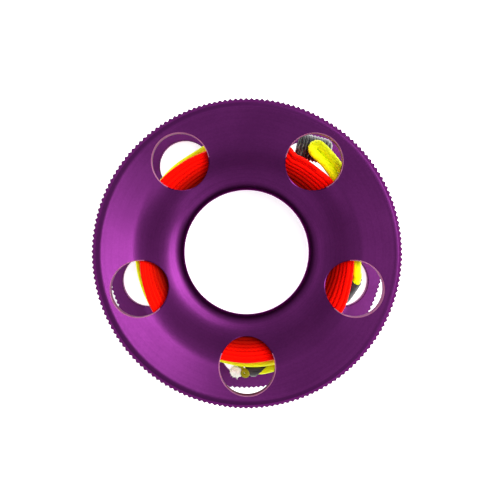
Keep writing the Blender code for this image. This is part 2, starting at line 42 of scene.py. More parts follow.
# the spool's own sizes, as the CAD has them, in metres
spool = {
    "width": 0.044,
    "rim": 0.0466,
    "rimThickness": 0.005,
    "web": 0.003,
    "toothDepth": 0.00065,
    "frontChamfer": 0.0014,
    "backChamfer": 0.0008,
    "crest": 0.001,
    "crestBlend": 0.0007,
    "coneSlope": math.tan(math.radians(20)),
    "coneInner": 0.0352,
    "lip": 0.0229,
    "lipDepth": 0.012,
    "lipSlope": math.tan(math.radians(18)),
    "waist": 0.0191,
    "waistCurve": 0.12,
    "seat": 0.016,
    "spigot": 0.0025,
    "spigotWall": 0.002,
    "hub": 0.0235,
    "holes": 5,
    "firstHole": 270,
    "holePlace": 0.0341,
    "pack": 0.0335,
    "packDip": 0.0006,
    "packGap": 0.0006,
    # the free gap between pieces that lie against each other
    "clearance": 0.0003,
}


def heightAt(depth):
    return spool["width"] - depth


def clamped(share):
    return min(1, max(0, share))


def eased(share):
    return share ** 2 * (3 - 2 * share)


def coneDepth(radius):
    inward = spool["rim"] - spool["frontChamfer"] - spool["crest"] - radius
    blend = spool["crestBlend"]
    if inward <= 0:
        return 0
    if inward < blend:
        return spool["coneSlope"] * inward ** 2 / (2 * blend)
    return spool["coneSlope"] * (inward - blend / 2)


def faceDepth(radius):
    if radius >= spool["coneInner"]:
        return coneDepth(radius)
    span = spool["coneInner"] - spool["lip"]
    share = min(1, (spool["coneInner"] - radius) / span)
    return (coneDepth(spool["coneInner"]) * (1 + 2 * share) * (1 - share) ** 2
            + spool["coneSlope"] * span * share * (1 - share) ** 2
            + spool["lipDepth"] * eased(share)
            + spool["lipSlope"] * span * share ** 2 * (share - 1))


def webDepth(radius):
    return max(spool["rimThickness"], faceDepth(radius) + spool["web"])


def waistRadius(depth):
    return spool["waist"] + (spool["width"] / 2 - depth) ** 2 / (2 * spool["waistCurve"])


def outward(angle):
    return Vector((math.cos(angle), math.sin(angle), 0))


def alongTurn(angle):
    return Vector((-math.sin(angle), math.cos(angle), 0))


def steps(start, end, count):
    return [start + (end - start) * i / count for i in range(count + 1)]


# camera, where the photograph was taken from
camera = {
    "focalPixels": 1118.6,
    "imagePixels": 500,
    "sensor": 36,
    "nearest": 0.01,
    "place": (-0.00541, 0.01422, 0.3768),
    "tilt": (-0.0396, -0.0197, 0),
    "shift": (-0.0028, 0.0018),
}
bpy.ops.object.camera_add(location=camera["place"])
lookDown = bpy.context.object
lookDown.name = "photoCamera"
lookDown.rotation_mode = "YXZ"
lookDown.rotation_euler = camera["tilt"]
lookDown.data.sensor_width = camera["sensor"]
lookDown.data.lens = camera["focalPixels"] / camera["imagePixels"] * camera["sensor"]
lookDown.data.shift_x, lookDown.data.shift_y = camera["shift"]
lookDown.data.clip_start = camera["nearest"]
bpy.context.scene.camera = lookDown
bpy.context.scene.view_settings.view_transform = "Standard"
print("stage: camera set")


# shader groups shared by the finishes

def feed(tree, socket, value):
    # a colour, a plain number or another node's output
    if isinstance(value, tuple):
        socket.default_value = (*value, 1)
    elif isinstance(value, (int, float)):
        socket.default_value = value
    else:
        tree.links.new(value, socket)


def fill(tree, node, values):
    for label, value in values.items():
        feed(tree, node.inputs[label], value)


def mathNode(tree, operation, *values):
    node = tree.nodes.new("ShaderNodeMath")
    node.operation = operation
    for socket, value in zip(node.inputs, values):
        feed(tree, socket, value)
    return node.outputs[0]


def times(tree, first, second):
    return mathNode(tree, "MULTIPLY", first, second)


def plus(tree, first, second):
    return mathNode(tree, "ADD", first, second)


def mixColour(tree, factor, first, second):
    node = tree.nodes.new("ShaderNodeMix")
    node.data_type = "RGBA"
    for place, value in ((0, factor), (6, first), (7, second)):
        feed(tree, node.inputs[place], value)
    return node.outputs[2]


def rangeNode(tree, value, fromLow, fromHigh, toLow, toHigh):
    node = tree.nodes.new("ShaderNodeMapRange")
    node.interpolation_type = "SMOOTHSTEP"
    for socket, each in zip(node.inputs, (value, fromLow, fromHigh, toLow, toHigh)):
        feed(tree, socket, each)
    return node.outputs[0]


def noiseNode(tree, vector, scale, detail=2.0):
    node = tree.nodes.new("ShaderNodeTexNoise")
    fill(tree, node, {"Vector": vector, "Scale": scale, "Detail": detail})
    return node.outputs[0]


def objectPlace(tree):
    return tree.nodes.new("ShaderNodeTexCoord").outputs["Object"]


def axisDistance(tree):
    # how far a point is from the spool's axis, and its height
    split = tree.nodes.new("ShaderNodeSeparateXYZ")
    tree.links.new(objectPlace(tree), split.inputs[0])
    x, y, z = split.outputs
    return mathNode(tree, "SQRT", plus(tree, times(tree, x, x), times(tree, y, y))), z


def radiusMask(tree, inner, outer, atInner, atOuter):
    # a value that changes with the distance from the spool's axis
    return rangeNode(tree, axisDistance(tree)[0], inner, outer, atInner, atOuter)


def newGroup(name, colours, values):
    # takes these colours and values, and gives a colour, a roughness and a height
    tree = bpy.data.node_groups.new(name, "ShaderNodeTree")
    for way, kind, labels in (("INPUT", "NodeSocketColor", colours),
                              ("INPUT", "NodeSocketFloat", values),
                              ("OUTPUT", "NodeSocketColor", ["Colour"]),
                              ("OUTPUT", "NodeSocketFloat", ["Roughness", "Height"])):
        for label in labels:
            tree.interface.new_socket(label, in_out=way, socket_type=kind)
    entry = tree.nodes.new("NodeGroupInput")
    leave = tree.nodes.new("NodeGroupOutput")
    return tree, entry.outputs, leave.inputs


satin = {
    # noise frequencies, per metre
    "turning": 2600,
    "grain": 5200,
    "cloud": 70,
    "speck": 1500,
    # shares of the cloud, specks and turning lines in the dye, and of the lines in the relief
    "dyeShares": (0.4, 0.3, 0.3),
    "lineRelief": 0.8,
}


def makeSatinGroup():
    # blasted and anodised metal: fine grain, faint turning lines, cloudy dye
    tree, given, gives = newGroup("satinAnodise", ["Dye", "Thin Dye"],
                                  ["Smoothest", "Roughest"])
    place = objectPlace(tree)
    around = tree.nodes.new("ShaderNodeCombineXYZ")
    for value, socket in zip(axisDistance(tree), around.inputs):
        tree.links.new(value, socket)
    turning = noiseNode(tree, around.outputs[0], satin["turning"], 3)
    grain = noiseNode(tree, place, satin["grain"], 3)
    cloud = noiseNode(tree, place, satin["cloud"], 3)
    speck = noiseNode(tree, place, satin["speck"])
    clouds, specks, lines = (times(tree, value, share) for value, share
                             in zip((cloud, speck, turning), satin["dyeShares"]))
    dye = plus(tree, clouds, plus(tree, specks, lines))
    tree.links.new(mixColour(tree, rangeNode(tree, dye, 0.35, 0.65, 0, 1),
                             given["Dye"], given["Thin Dye"]), gives["Colour"])
    tree.links.new(rangeNode(tree, grain, 0.3, 0.7, given["Smoothest"], given["Roughest"]),
                   gives["Roughness"])
    relief = times(tree, turning, satin["lineRelief"])
    tree.links.new(plus(tree, relief, grain), gives["Height"])
    return tree


braid = {
    # noise frequencies, per metre
    "fibre": 4200,
    "patch": 160,
    # shares of the yarns, fibres and patches in the tone, and of the fibres in the rest
    "toneShares": (0.72, 0.3, 0.25),
    "fibreRoughness": 0.3,
    "fibreRelief": 0.35,
}


def makeBraidGroup():
    # braided cord: two families of yarns that pass over and under one another, with painted
    # shade in the crevices between them
    tree, given, gives = newGroup("braidedYarn", ["Crown", "Valley Shade"],
                                  ["Yarns", "Pitch", "Smoothest"])
    split = tree.nodes.new("ShaderNodeSeparateXYZ")
    tree.links.new(tree.nodes.new("ShaderNodeUVMap").outputs[0], split.inputs[0])
    across = times(tree, split.outputs[0], given["Yarns"])
    along = mathNode(tree, "DIVIDE", split.outputs[1], given["Pitch"])
    left = plus(tree, across, along)
    right = mathNode(tree, "SUBTRACT", across, along)
    turn = plus(tree, mathNode(tree, "FLOOR", left), mathNode(tree, "FLOOR", right))
    over = mathNode(tree, "ABSOLUTE", mathNode(tree, "MODULO", turn, 2.0))
    waves = [mathNode(tree, "SINE", times(tree, value, math.pi)) for value in (left, right)]
    leftHump, rightHump = (mathNode(tree, "ABSOLUTE", wave) for wave in waves)
    under = mathNode(tree, "SUBTRACT", 1.0, over)
    hump = plus(tree, times(tree, leftHump, over), times(tree, rightHump, under))
    place = objectPlace(tree)
    fibre = noiseNode(tree, place, braid["fibre"])
    patch = noiseNode(tree, place, braid["patch"])
    yarns, fibres, patches = (times(tree, value, share) for value, share
                              in zip((hump, fibre, patch), braid["toneShares"]))
    tone = plus(tree, yarns, plus(tree, fibres, patches))
    # colour from crown to crevice: painted shade between the yarns, mixed with random tone of
    # fibres and patches
    tree.links.new(mixColour(tree, rangeNode(tree, tone, 0.25, 0.95, 0, 1),
                             given["Valley Shade"], given["Crown"]), gives["Colour"])
    rougher = times(tree, fibre, braid["fibreRoughness"])
    tree.links.new(plus(tree, given["Smoothest"], rougher), gives["Roughness"])
    relief = times(tree, fibre, braid["fibreRelief"])
    tree.links.new(plus(tree, hump, relief), gives["Height"])
    return tree


skin = {"scuff": 420, "scuffFrom": 0.5, "scuffTo": 0.72, "scuffRoughness": 0.35}


def makeSkinGroup():
    # moulded or shrunk plastic: soft orange peel, dull patches and pale scuffs
    tree, given, gives = newGroup("plasticSkin", ["Plain", "Scuffed"],
                                  ["Scuffs", "Smoothest", "Grain Size"])
    place = objectPlace(tree)
    scuff = noiseNode(tree, place, skin["scuff"], 5)
    worn = rangeNode(tree, scuff, skin["scuffFrom"], skin["scuffTo"], 0, 1)
    mask = times(tree, worn, given["Scuffs"])
    tree.links.new(mixColour(tree, mask, given["Plain"], given["Scuffed"]), gives["Colour"])
    rougher = times(tree, scuff, skin["scuffRoughness"])
    tree.links.new(plus(tree, given["Smoothest"], rougher), gives["Roughness"])
    tree.links.new(noiseNode(tree, place, given["Grain Size"]), gives["Height"])
    return tree


satinAnodise = makeSatinGroup()
braidedYarn = makeBraidGroup()
plasticSkin = makeSkinGroup()


def finishFrom(name, group, values, bump, shaderValues):
    # one finish: the shared group with its own values, into the shader and a bump
    material = bpy.data.materials.new(name)
    material.use_nodes = True
    tree = material.node_tree
    effect = tree.nodes.new("ShaderNodeGroup")
    effect.node_tree = group
    fill(tree, effect, values)
    raised = tree.nodes.new("ShaderNodeBump")
    fill(tree, raised, {"Strength": bump[0], "Distance": bump[1],
                        "Height": effect.outputs["Height"]})
    fill(tree, tree.nodes["Principled BSDF"],
         {"Base Color": effect.outputs["Colour"], "Roughness": effect.outputs["Roughness"],
          "Normal": raised.outputs[0], **shaderValues})
    return material


finishes = {
    "anodised": finishFrom(
        "violetAnodised", satinAnodise,
        {"Dye": (0.070, 0.0095, 0.071), "Thin Dye": (0.088, 0.0125, 0.089),
         "Smoothest": 0.31, "Roughest": 0.39},
        (0.12, 0.00003), {"Metallic": 1.0, "Specular Tint": (0.80, 0.42, 0.72)}),
    "inner": finishFrom(
        "paleAnodised", satinAnodise,
        {"Dye": (0.110, 0.0170, 0.115), "Thin Dye": (0.135, 0.0220, 0.140),
         "Smoothest": 0.36, "Roughest": 0.44}, (0.12, 0.00003), {"Metallic": 1.0}),
    # a lighter cut edge, brightened as a painted highlight, on the outer side of each hole only
    "edge": finishFrom(
        "cutEdgeHighlight", satinAnodise,
        {"Dye": (0.52, 0.22, 0.38), "Thin Dye": (0.64, 0.28, 0.47),
         "Smoothest": 0.42, "Roughest": 0.52},
        (0.10, 0.00002), {"Metallic": 1.0, "Specular Tint": (0.80, 0.42, 0.72)}),
    "bore": finishFrom(
        "polishedBore", satinAnodise,
        {"Dye": (0.70, 0.52, 0.70), "Thin Dye": (0.78, 0.62, 0.78),
         "Smoothest": 0.08, "Roughest": 0.13}, (0.03, 0.00001), {"Metallic": 1.0}),
    # the braids' Valley Shade colours are painted shade between the yarns
    "line": finishFrom(
        "redBraid", braidedYarn,
        {"Crown": (0.86, 0.0016, 0.0012), "Valley Shade": (0.50, 0.0006, 0.0007),
         "Yarns": 6.0, "Pitch": 0.0014, "Smoothest": 0.4},
        (0.2, 0.00006), {"Specular IOR Level": 0.2, "Specular Tint": (1.0, 0.30, 0.03)}),
    "cord": finishFrom(
        "yellowBraid", braidedYarn,
        {"Crown": (0.91, 0.99, 0.002), "Valley Shade": (0.78, 0.86, 0.001),
         "Yarns": 8.0, "Pitch": 0.0026, "Smoothest": 0.46},
        (0.55, 0.00012), {"Specular IOR Level": 0.3}),
    # the yellow braid painted darker and olive for the sheath's cut ends: painted shade
    "sheath": finishFrom(
        "shadedYellow", braidedYarn,
        {"Crown": (0.34, 0.32, 0.006), "Valley Shade": (0.12, 0.11, 0.002),
         "Yarns": 8.0, "Pitch": 0.0026, "Smoothest": 0.5},
        (0.55, 0.00012), {"Specular IOR Level": 0.2}),
    "sleeve": finishFrom(
        "shrinkBlack", plasticSkin,
        {"Plain": (0.016, 0.014, 0.016), "Scuffed": (0.06, 0.055, 0.06), "Scuffs": 0.5,
         "Smoothest": 0.26, "Grain Size": 1300.0}, (0.25, 0.00006), {"Coat Weight": 0.1}),
    "toggle": finishFrom(
        "toggleRubber", plasticSkin,
        {"Plain": (0.010, 0.010, 0.010), "Scuffed": (0.15, 0.145, 0.15), "Scuffs": 0.8,
         "Smoothest": 0.14, "Grain Size": 1600.0}, (0.35, 0.00006), {"Coat Weight": 0.3}),
    "core": finishFrom(
        "creamFibre", plasticSkin,
        {"Plain": (0.78, 0.80, 0.70), "Scuffed": (0.62, 0.60, 0.48), "Scuffs": 0.6,
         "Smoothest": 0.7, "Grain Size": 2400.0},
        (0.5, 0.0001), {"Sheen Weight": 0.5, "Sheen Tint": (1.0, 0.95, 0.85)}),
}


# painted shade, where a finish is painted darker: its colour there, the radius where that starts
# to fade outwards and where it ends, and for a ring the same two radii inwards
paintedShades = [
    # painted shade at the edge of the bore
    ("anodised", (0.026, 0.0032, 0.024), (0.0196, 0.0222), None),
    # painted shade in a ring on the rim's crest
    ("anodised", (0.050, 0.0068, 0.052), (0.0449, 0.0455), (0.0438, 0.0444)),
    # painted shade on the line towards the hub, under the flanges
    ("line", (0.13, 0.0004, 0.0006), (0.0262, 0.0326), None),
]


# paints shade into a finish's colour by distance from the axis
def paintShade(finish, colour, outwards, inwards):
    tree = finishes[finish].node_tree
    socket = tree.nodes["Principled BSDF"].inputs["Base Color"]
    mask = radiusMask(tree, *outwards, 1.0, 0.0)
    if inwards:
        mask = times(tree, radiusMask(tree, *inwards, 0.0, 1.0), mask)
    tree.links.new(mixColour(tree, mask, socket.links[0].from_socket, colour), socket)


for row in paintedShades:
    paintShade(*row)
print("stage: finishes made,", len(finishes))


# helpers for modelling

def deselect():
    if bpy.context.object and bpy.context.object.mode != "OBJECT":
        bpy.ops.object.mode_set(mode="OBJECT")
    bpy.ops.object.select_all(action="DESELECT")


def editAll():
    bpy.ops.object.mode_set(mode="EDIT")
    bpy.ops.mesh.select_all(action="SELECT")


def joinInto(piece, others):
    deselect()
    for other in [*others, piece]:
        other.select_set(True)
    bpy.context.view_layer.objects.active = piece
    bpy.ops.object.join()


def editSelected(piece, test):
    # in edit mode: select the vertices that pass a test of their place
    mesh = bmesh.from_edit_mesh(piece.data)
    mesh.select_mode = {"VERT"}
    for vert in mesh.verts:
        vert.select = bool(test(vert.co))
    mesh.select_flush_mode()
    bmesh.update_edit_mesh(piece.data)


def applyModifier(piece, kind, **settings):
    modifier = piece.modifiers.new(kind.lower(), kind)
    for label, value in settings.items():
        setattr(modifier, label, value)
    bpy.context.view_layer.objects.active = piece
    bpy.ops.object.modifier_apply(modifier=modifier.name)


def dress(piece, material, slot, *replaced, smooth=32):
    # finish, smooth shading, and its place in the frame
    deselect()
    piece.select_set(True)
    bpy.context.view_layer.objects.active = piece
    bpy.ops.object.transform_apply(location=True, rotation=True, scale=True)
    bpy.ops.object.shade_smooth_by_angle(angle=math.radians(smooth))
    if not piece.data.materials:
        piece.data.materials.append(finishes[material])
    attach(piece, "root")
    if replaced:
        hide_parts(*replaced)


weldDistance = 0.000002
# of a new circle, before its points are placed
startRadius = 0.01


def spinSection(name, section, turns):
    # a closed section, drawn from a circle's points, spun once round the axis
    deselect()
    bpy.ops.mesh.primitive_circle_add(vertices=len(section), radius=startRadius)
    piece = bpy.context.object
    piece.name = name
    for vert, (radius, height) in zip(piece.data.vertices, section):
        vert.co = (radius, 0, height)
    editAll()
    bpy.ops.mesh.spin(steps=turns, angle=2 * math.pi, center=(0, 0, 0), axis=(0, 0, 1))
    bpy.ops.mesh.select_all(action="SELECT")
    bpy.ops.mesh.remove_doubles(threshold=weldDistance)
    bpy.ops.mesh.normals_make_consistent(inside=False)
    bpy.ops.object.mode_set(mode="OBJECT")
    return piece


# the two flanges: spun, knurled, drilled
flange = {
    "turns": 732,
    "turnsPerTooth": 4,
    "shoulderShare": 0.48,
    "webEdge": 0.0428,
    "crestRound": 0.00015,
    "holeRadius": 0.00842,
    "holeChamfer": 0.00026,
    "holeSides": 96,
    # how far the drill's flare runs past the faces, and the depths of its two ends
    "drillReach": 0.0002,
    "drillTop": -0.002,
    "drillBottom": 0.03,
    # how far inside the holes' circle the chamfers take the lighter cut-edge finish with its
    # painted highlight, and the slack at their edges
    "brightInward": 0.003,
    "brightLow": 0.00004,
    "brightHigh": 0.00003,
    # how far the polish of the bore runs up the lip, and the slack on two faces
    "polishReach": 0.00007,
    "webSlack": 0.0001,
    "rimSlack": 0.00002,
}


def flangeSection():
    crestOuter = spool["rim"] - spool["frontChamfer"]
    crestInner = crestOuter - spool["crest"]
    rounded = flange["crestRound"]
    points = [(crestOuter + rounded * 0.7, rounded * 0.75),
              (crestOuter + rounded * 0.1, rounded * 0.2),
              (crestOuter - rounded * 0.6, 0), (crestInner, 0)]
    blendEnd = crestInner - spool["crestBlend"]
    for start, end, count in ((crestInner, blendEnd, 4), (blendEnd, spool["coneInner"], 5),
                              (spool["coneInner"], spool["lip"], 26)):
        points += [(radius, faceDepth(radius)) for radius in steps(start, end, count)[1:]]
    endRadius = waistRadius(spool["seat"])
    for share in steps(0, 1, 12)[1:]:
        turn = share * math.pi / 2
        radius = endRadius + (spool["lip"] - endRadius) * (1 - math.sin(turn))
        sink = (spool["seat"] - spool["lipDepth"]) * (1 - math.cos(turn))
        tilt = spool["lipSlope"] * (spool["lip"] - radius) * (1 - share)
        points.append((radius, spool["lipDepth"] + sink + tilt))
    spigotEnd = spool["seat"] + spool["spigot"]
    spigotOuter = waistRadius(spigotEnd) + spool["spigotWall"]
    points += [(waistRadius(spigotEnd), spigotEnd), (spigotOuter, spigotEnd),
               (spigotOuter, spool["seat"]), (spool["hub"], spool["seat"])]
    points += [(radius, webDepth(radius))
               for radius in steps(spool["hub"], flange["webEdge"], 18)]
    points += [(spool["rim"] - spool["backChamfer"], spool["rimThickness"]),
               (spool["rim"], spool["rimThickness"] - spool["backChamfer"]),
               (spool["rim"], spool["frontChamfer"])]
    return [(radius, heightAt(depth)) for radius, depth in points]


def toothPhase(place):
    step = 2 * math.pi / flange["turns"]
    return round(math.atan2(place.y, place.x) / step) % flange["turnsPerTooth"]


def cutKnurl(piece):
    # every fourth line of points stays a crest, the rest sink towards the groove
    bpy.ops.object.mode_set(mode="EDIT")
    onRim = spool["rim"] - flange["rimSlack"]
    middle = heightAt(spool["rimThickness"] / 2)
    groove = spool["toothDepth"]
    for phases, sink in (((2,), groove), ((1, 3), groove * flange["shoulderShare"])):
        for front in (True, False):
            editSelected(piece, lambda co: math.hypot(co.x, co.y) > onRim
                         and toothPhase(co) in phases and (co.z > middle) == front)
            size = (spool["rim"] - sink) / spool["rim"]
            bpy.ops.transform.resize(value=(size, size, 1), center_override=(0, 0, 0))
            bpy.ops.transform.translate(value=(0, 0, sink if front else -sink))
    bpy.ops.object.mode_set(mode="OBJECT")


def makeHoleCutter():
    # a drill with a flared neck that follows the dish, so the chamfer is even
    deselect()
    bpy.ops.mesh.primitive_circle_add(vertices=flange["holeSides"], radius=startRadius,
                                      location=(spool["holePlace"], 0, 0))
    cutter = bpy.context.object
    cutter.name = "holeCutter"
    bpy.ops.object.transform_apply(location=True, rotation=False, scale=False)
    flare, reach = flange["holeChamfer"], flange["drillReach"]
    narrow = flange["holeRadius"]
    wide = narrow + flare + reach
    rings = [
        (wide, lambda r: flange["drillTop"]),
        (wide, lambda r: faceDepth(r) - reach),
        (narrow, lambda r: faceDepth(r) + flare),
        (narrow, lambda r: webDepth(r) - flare),
        (wide, lambda r: webDepth(r) + reach),
        (wide, lambda r: flange["drillBottom"]),
    ]
    editAll()
    for index, (size, depthOf) in enumerate(rings):
        if index:
            bpy.ops.mesh.extrude_region_move()
        mesh = bmesh.from_edit_mesh(cutter.data)
        for vert in mesh.verts:
            if vert.select:
                angle = math.atan2(vert.co.y, vert.co.x - spool["holePlace"])
                vert.co.x = spool["holePlace"] + size * math.cos(angle)
                vert.co.y = size * math.sin(angle)
                vert.co.z = heightAt(depthOf(math.hypot(vert.co.x, vert.co.y)))
        bmesh.update_edit_mesh(cutter.data)
        if index in (0, len(rings) - 1):
            bpy.ops.mesh.edge_face_add()
            if index == 0:
                # keep the cap, and go on from its rim
                bpy.ops.mesh.region_to_loop()
    bpy.ops.mesh.select_all(action="SELECT")
    bpy.ops.mesh.normals_make_consistent(inside=False)
    bpy.ops.object.mode_set(mode="OBJECT")
    return cutter


def holeAngles():
    apart = 360 / spool["holes"]
    return [math.radians(spool["firstHole"] + apart * i) for i in range(spool["holes"])]


def drillHoles(piece):
    cutter = makeHoleCutter()
    copies = []
    for angle in holeAngles():
        drill = cutter.copy()
        drill.data = cutter.data.copy()
        bpy.context.scene.collection.objects.link(drill)
        drill.data.transform(Matrix.Rotation(angle, 4, "Z"))
        copies.append(drill)
    for drill in copies:
        applyModifier(piece, "BOOLEAN", operation="DIFFERENCE", solver="EXACT", object=drill)
    for drill in copies + [cutter]:
        bpy.data.objects.remove(drill, do_unlink=True)


def markFaces(piece):
    # a lighter cut-edge finish with a painted highlight on the chamfers of the holes' outer
    # side, a polished bore, paler inner faces
    for finish in ("anodised", "edge", "bore", "inner"):
        piece.data.materials.append(finishes[finish])
    wall = waistRadius(spool["seat"]) + flange["polishReach"]
    low = flange["holeRadius"] + flange["brightLow"]
    high = flange["holeRadius"] + flange["holeChamfer"] - flange["brightHigh"]
    places = [outward(angle) * spool["holePlace"] for angle in holeAngles()]
    for face in piece.data.polygons:
        flat = Vector((face.center.x, face.center.y, 0))
        away = min((flat - place).length for place in places)
        depth = spool["width"] - face.center.z
        bright = (depth - faceDepth(flat.length) < flange["holeChamfer"] and low < away < high
                  and flat.length > spool["holePlace"] - flange["brightInward"])
        web = webDepth(flat.length) - flange["webSlack"]
        inside = flat.length > spool["hub"] and depth > web
        face.material_index = 1 if bright else 2 if flat.length < wall else 3 if inside else 0


def makeFlanges():
    front = spinSection("frontFlange", flangeSection(), flange["turns"])
    cutKnurl(front)
    drillHoles(front)
    markFaces(front)
    rear = front.copy()
    rear.data = front.data.copy()
    rear.name = "rearFlange"
    bpy.context.scene.collection.objects.link(rear)
    mirrored = Matrix.Diagonal((1, 1, -1, 1))
    rear.data.transform(Matrix.Translation((0, 0, spool["width"])) @ mirrored)
    rear.data.flip_normals()
    dress(front, "anodised", "anodised", "front_flange", smooth=24)
    dress(rear, "anodised", "anodised", "rear_flange", smooth=24)


makeFlanges()
print("stage: flanges spun, knurled and drilled")


# the hub barrel, flush with both flanges inside the bore
barrelTurns = 366


def makeBarrel():
    seat = spool["seat"]
    end = seat + spool["spigot"]
    pocket = waistRadius(end) + spool["spigotWall"]
    points = [(spool["hub"], seat), (pocket, seat), (pocket, end)]
    points += [(waistRadius(depth), depth) for depth in steps(end, spool["width"] - end, 10)]
    points += [(pocket, spool["width"] - end), (pocket, spool["width"] - seat),
               (spool["hub"], spool["width"] - seat)]
    barrel = spinSection("hubBarrel", [(r, heightAt(d)) for r, d in points], barrelTurns)
    markFaces(barrel)
    dress(barrel, "anodised", "anodised", "hub_barrel")


makeBarrel()
print("stage: hub barrel")


# a tube along a path, with a UV map that runs round and along it
def sweepTube(name, path, radius, sides, squeeze=1.0, ends=1.0, swells=None):
    total = len(path)
    verts, faces, lengths = [], [], [0.0]
    for first, second in zip(path, path[1:]):
        lengths.append(lengths[-1] + (second - first).length)
    tangent = (path[1] - path[0]).normalized()
    side = tangent.orthogonal().normalized()
    if abs(tangent.z) < 0.9:
        side = (Vector((0, 0, 1)) - tangent * tangent.z).normalized()
    for index in range(total):
        ahead = path[min(index + 1, total - 1)] - path[max(index - 1, 0)]
        newTangent = ahead.normalized()
        side = (side - newTangent * side.dot(newTangent)).normalized()
        other = newTangent.cross(side)
        size = radius * (ends if index in (0, total - 1) else 1)
        size *= swells[index] if swells else 1
        for step in range(sides):
            turn = 2 * math.pi * step / sides
            verts.append(path[index] + side * size * math.cos(turn)
                         + other * size * squeeze * math.sin(turn))
    for index in range(total - 1):
        for step in range(sides):
            following = (step + 1) % sides
            faces.append((index * sides + step, index * sides + following,
                          (index + 1) * sides + following, (index + 1) * sides + step))
    faces.append(tuple(reversed(range(sides))))
    faces.append(tuple(range((total - 1) * sides, total * sides)))
    mesh = bpy.data.meshes.new(name)
    mesh.from_pydata(verts, [], faces)
    layer = mesh.uv_layers.new(name="UVMap")
    for faceIndex in range((total - 1) * sides):
        index, step = divmod(faceIndex, sides)
        corners = ((step, index), (step + 1, index), (step + 1, index + 1), (step, index + 1))
        for loop, (across, along) in zip(mesh.polygons[faceIndex].loop_indices, corners):
            layer.data[loop].uv = (across / sides, lengths[along])
    piece = bpy.data.objects.new(name, mesh)
    bpy.context.scene.collection.objects.link(piece)
    return piece


def packDip(depth):
    edge = webDepth(spool["pack"]) + spool["packGap"]
    share = clamped((depth - edge) / (spool["width"] - 2 * edge))
    return spool["packDip"] * math.sin(math.pi * share) ** 2


def spoolPoint(angle, lift, depth):
    radius = spool["pack"] - packDip(depth) + lift
    return Vector((radius * math.cos(angle), radius * math.sin(angle), heightAt(depth)))


# the wound guide line: a packed body, turns over it and strands down its sides
winding = {
    "line": 0.0012,
    "pitch": 0.00121,
    "perTurn": 96,
    "sides": 16,
    "sideTurns": 9,
    "sidePitch": 0.00102,
    "flatten": 1.55,
    "wander": 0.00010,
    # how far the pack's front edge stands out, by degrees round, at this depth and fading
    "edgeDepth": 0.009,
    "edgeFade": 0.006,
    "edgeLifts": [
        (20, -0.0001), (41, 0.0007), (50, 0.0004), (59, 0.0003), (65, 0.0001), (69, 0.0019),
        (80, 0.0016), (96, 0.0008), (112, 0.0), (126, 0.0005), (139, 0.0011), (160, 0.0002),
        (183, -0.0007), (195, -0.0002), (211, 0.0005), (235, 0.0004), (257, 0.0002),
        (271, 0.0003), (283, 0.0003), (305, 0.0006), (329, 0.0009), (346, -0.0001),
        (357, -0.0005), (380, -0.0001)],
    # the packed body below the turns
    "hubGap": 0.0002,
    "bodyShare": 0.92,
    "bodyCover": 0.0012,
    "bodyTurns": 120,
    "bodyTexture": (300, 0.03),
    # steps in which the last turn climbs to the knot
    "leadSteps": 11,
}
knot = {
    "radius": 0.0021,
    "length": 0.005,
    "angle": math.radians(97),
    # how far the leader's start lies inside the knot
    "overlap": 0.0004,
    "wraps": 4,
    "perWrap": 20,
    "endShare": 0.72,
    "heartStart": 0.0002,
    "heartShare": 1.06,
}
knotDepth = spool["width"] - webDepth(spool["pack"]) - spool["clearance"] - knot["radius"]
knotLift = knot["radius"] + spool["clearance"]
knotCentre = spoolPoint(knot["angle"], knotLift, knotDepth)


def wander(angle, row, seed):
    place = Vector((math.cos(angle) * 2.2, math.sin(angle) * 2.2, row * 0.37 + seed))
    return noise.noise(place) * winding["wander"] * 2


def bulge(angle, depth):
    # the pack stands out unevenly along its front edge
    fade = max(0.0, 1 - abs(depth - winding["edgeDepth"]) / winding["edgeFade"])
    places = winding["edgeLifts"]
    degrees = (math.degrees(angle) - places[0][0]) % 360 + places[0][0]
    for (start, first), (end, second) in zip(places, places[1:]):
        if start <= degrees <= end:
            share = (degrees - start) / (end - start)
            return fade * (first + (second - first) * eased(share))
    return 0.0


def makePackBody():
    inner = spool["hub"] + winding["hubGap"]
    outer = spool["pack"] - winding["line"] * winding["bodyShare"]
    front = [(radius, webDepth(radius) + winding["bodyCover"])
             for radius in steps(inner, outer, 8)]
    edge = front[-1][1]
    points = front + [(outer - packDip(depth), depth)
                      for depth in steps(edge, spool["width"] - edge, 8)[1:-1]]
    points += [(radius, spool["width"] - depth) for radius, depth in reversed(front)]
    body = spinSection("packedLine", [(r, heightAt(d)) for r, d in points],
                       winding["bodyTurns"])
    layer = body.data.uv_layers.new(name="UVMap")
    up, around = winding["bodyTexture"]
    for loop in body.data.loops:
        co = body.data.vertices[loop.vertex_index].co
        layer.data[loop.index].uv = (co.z * up, math.atan2(co.y, co.x) * around)
    dress(body, "line", "guide_line", "line_core")


def makeOuterTurns():
    # one tube from the front edge to the rear, then up into the leader's knot
    radius = winding["line"] / 2
    firstDepth = webDepth(spool["pack"]) + spool["clearance"] + radius
    turns = int((knotDepth - firstDepth) / winding["pitch"])
    step = 2 * math.pi / winding["perTurn"]
    knotHalf = math.atan((knot["length"] / 2) / (spool["pack"] + knotLift))
    endAngle = knot["angle"] - knotHalf - step / 2
    leadSteps = winding["leadSteps"]
    count = turns * winding["perTurn"]
    path = []
    for index in range(count + 1):
        angle = endAngle - leadSteps * step - (count - index) * step
        depth = knotDepth - (count - index) * winding["pitch"] / winding["perTurn"]
        row = index / winding["perTurn"]
        shift = wander(angle, row, 0.0)
        path.append(spoolPoint(angle, -radius + wander(angle, row, 9.0) + bulge(angle, depth),
                               depth + shift * 0.4))
    for index in range(1, leadSteps + 1):
        rise = eased(index / leadSteps)
        path.append(spoolPoint(endAngle - (leadSteps - index) * step,
                               -radius + (knotLift + radius) * rise, knotDepth))
    outerTurns = sweepTube("outerTurns", path, radius, winding["sides"])
    dress(outerTurns, "line", "guide_line", "line_winding", smooth=60)


